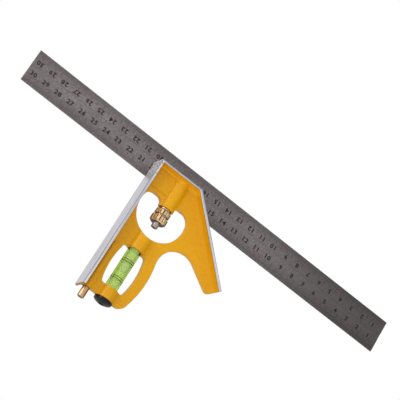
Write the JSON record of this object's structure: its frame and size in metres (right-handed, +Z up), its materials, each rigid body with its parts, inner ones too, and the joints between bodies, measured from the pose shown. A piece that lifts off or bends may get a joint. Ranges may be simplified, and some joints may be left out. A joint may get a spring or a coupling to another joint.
{
  "type": "combination square",
  "caption": "Combination square: a steel rule slides through a cast head with square and mitre faces, a clamp bolt and nut, a spirit level and a stored scriber.",
  "frame": {"origin": "working corner: where the head's fence face meets the floor of the rule's slot, halfway through the head's thickness", "axes": "+X along the rule, away from the fence; +Z up across the rule, so the head hangs below it; the front of the head faces -Y"},
  "size_m": [0.3048, 0.018, 0.118],
  "materials": {
    "head_paint": "gloss enamel over the casting; rails machined bare",
    "rule_steel": "satin",
    "bolt_steel": "turned",
    "spring_steel": "drawn wire",
    "nut_brass": "knurled",
    "vial_acrylic": "clear, polished",
    "level_fluid": "clear green",
    "stopper_acrylic": "polished",
    "cushion_rubber": "soft",
    "plug_plastic": "moulded",
    "scriber_brass": "turned",
    "needle_steel": "ground",
    "bush_brass": "turned",
    "etch_ink": "filled etching"
  },
  "bodies": {
    "head": {"head_casting": "head_paint", "vial_tube": "vial_acrylic", "vial_fluid": "level_fluid", "vial_stopper": "stopper_acrylic", "vial_cushion": "cushion_rubber", "vial_plug": "plug_plastic", "scriber_bush": "bush_brass", "clamp_spring": "spring_steel"},
    "rule": {"rule_blade": "rule_steel"},
    "bolt": {"clamp_bolt": "bolt_steel"},
    "nut": {"clamp_nut": "nut_brass"},
    "scriber": {"scriber_knob": "scriber_brass", "scriber_needle": "needle_steel"}
  },
  "joints": [
    {"name": "rule_slide", "type": "slide", "parent": "head", "child": "rule", "axis": [1, 0, 0], "range_m": [-0.165, 0.103]},
    {"name": "nut_turn", "type": "hinge", "parent": "head", "child": "nut", "pos_m": [0.022, 0, -0.018], "axis": [0, 0, -1], "range_deg": [0, 540]},
    {"name": "bolt_rise", "type": "slide", "parent": "head", "child": "bolt", "axis": [0, 0, 1], "range_m": [0, 0.0012], "deforming": ["clamp_spring"]},
    {"name": "scriber_draw", "type": "slide", "parent": "head", "child": "scriber", "axis": [0, 0, -1], "range_m": [0, 0.042]}
  ],
  "couplings": [
    {"joint": "bolt_rise", "follows": "nut_turn", "m_per_rad": 0.000127}
  ]
}
